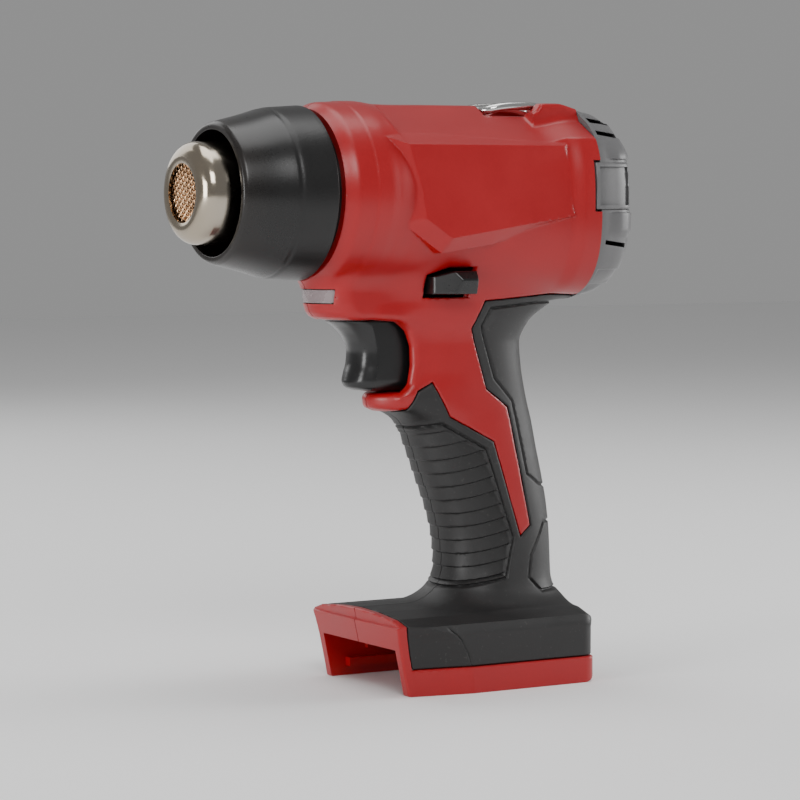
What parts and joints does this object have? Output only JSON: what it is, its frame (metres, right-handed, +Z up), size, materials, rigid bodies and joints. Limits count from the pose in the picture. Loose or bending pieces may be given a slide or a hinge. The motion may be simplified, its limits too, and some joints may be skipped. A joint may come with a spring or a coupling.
{
  "type": "cordless heat gun",
  "caption": "Compact cordless heat gun: steel outlet in a black heat shield, red barrel with grey intake cap, rubber-clad pistol grip and battery foot.",
  "frame": {"origin": "centre of the foot's underside, below the middle of the gun's overall length and width", "axes": "+X towards the rear air intake (the nozzle points along -X), +Y towards the user's right side, +Z up along the handle to the barrel"},
  "size_m": [0.164, 0.0658, 0.2002],
  "materials": {
    "red_shell": "satin moulded nylon, fine spark texture",
    "grip_rubber": "matt overmoulded elastomer",
    "black_plastic": "leathery textured high-temperature plastic",
    "grey_plastic": "satin moulded plastic",
    "lamp_lens": "frosted translucent",
    "polished_steel": "polished stainless, faint straw heat tint",
    "plain_steel": "plain",
    "copper_mesh": "woven wire, heat-toned",
    "brass": "stamped",
    "resistance_wire": "oxidised",
    "mica": "flaky, matt",
    "ceramic": "unglazed",
    "ferrite": "matt",
    "circuit_board": "solder resist",
    "red_lead": "silicone",
    "black_lead": "silicone"
  },
  "bodies": {
    "housing": {"housing_left": "red_shell", "housing_right": "red_shell", "grip_left": "grip_rubber", "grip_right": "grip_rubber", "heat_shield": "black_plastic", "nozzle": "polished_steel", "outlet_screen": "copper_mesh", "heater_former": "mica", "heating_coil": "resistance_wire", "mica_sleeve": "mica", "heater_flange": "ceramic", "thermal_cutout": "plain_steel", "fan_duct": "black_plastic", "motor_can": "plain_steel", "motor_end_cover": "black_plastic", "bearing_front": "brass", "bearing_rear": "brass", "magnet_upper": "ferrite", "magnet_lower": "ferrite", "motor_mount": "black_plastic", "rear_cap": "grey_plastic", "intake_screen": "plain_steel", "switch_body": "black_plastic", "trigger_spring": "plain_steel", "led_lens": "lamp_lens", "led_board": "circuit_board", "control_board": "circuit_board", "terminal_block": "black_plastic", "battery_lead_positive": "red_lead", "battery_lead_negative": "black_lead", "heater_lead_positive": "red_lead", "heater_lead_negative": "black_lead", "motor_lead_positive": "red_lead", "motor_lead_negative": "black_lead", "terminal_blade_1": "brass", "terminal_blade_2": "brass", "terminal_blade_3": "brass", "terminal_blade_4": "brass", "housing_screw_1": "plain_steel", "housing_screw_2": "plain_steel", "housing_screw_3": "plain_steel", "housing_screw_4": "plain_steel", "housing_screw_5": "plain_steel", "housing_screw_6": "plain_steel", "housing_screw_7": "plain_steel", "housing_screw_8": "plain_steel"},
    "trigger": {"trigger": "black_plastic"},
    "shuttle": {"lock_shuttle": "black_plastic"},
    "hook": {"hang_hook": "polished_steel"},
    "rotor": {"motor_shaft": "plain_steel", "impeller": "black_plastic", "armature": "plain_steel", "commutator": "brass"}
  },
  "joints": [
    {"name": "trigger_slide", "type": "slide", "parent": "housing", "child": "trigger", "axis": [1, 0, 0], "range_m": [0, 0.0055], "stiffness_N_per_m": 250, "springref_m": -0.004, "deforming": ["trigger_spring"]},
    {"name": "shuttle_slide", "type": "slide", "parent": "housing", "child": "shuttle", "axis": [0, 1, 0], "range_m": [-0.003, 0.003]},
    {"name": "hook_hinge", "type": "hinge", "parent": "housing", "child": "hook", "pos_m": [0.059, 0, 0.1968], "axis": [0, 1, 0], "range_deg": [0, 90]},
    {"name": "rotor_spin", "type": "hinge", "parent": "housing", "child": "rotor", "pos_m": [0.03, 0, 0.1685], "axis": [1, 0, 0], "continuous": true}
  ]
}
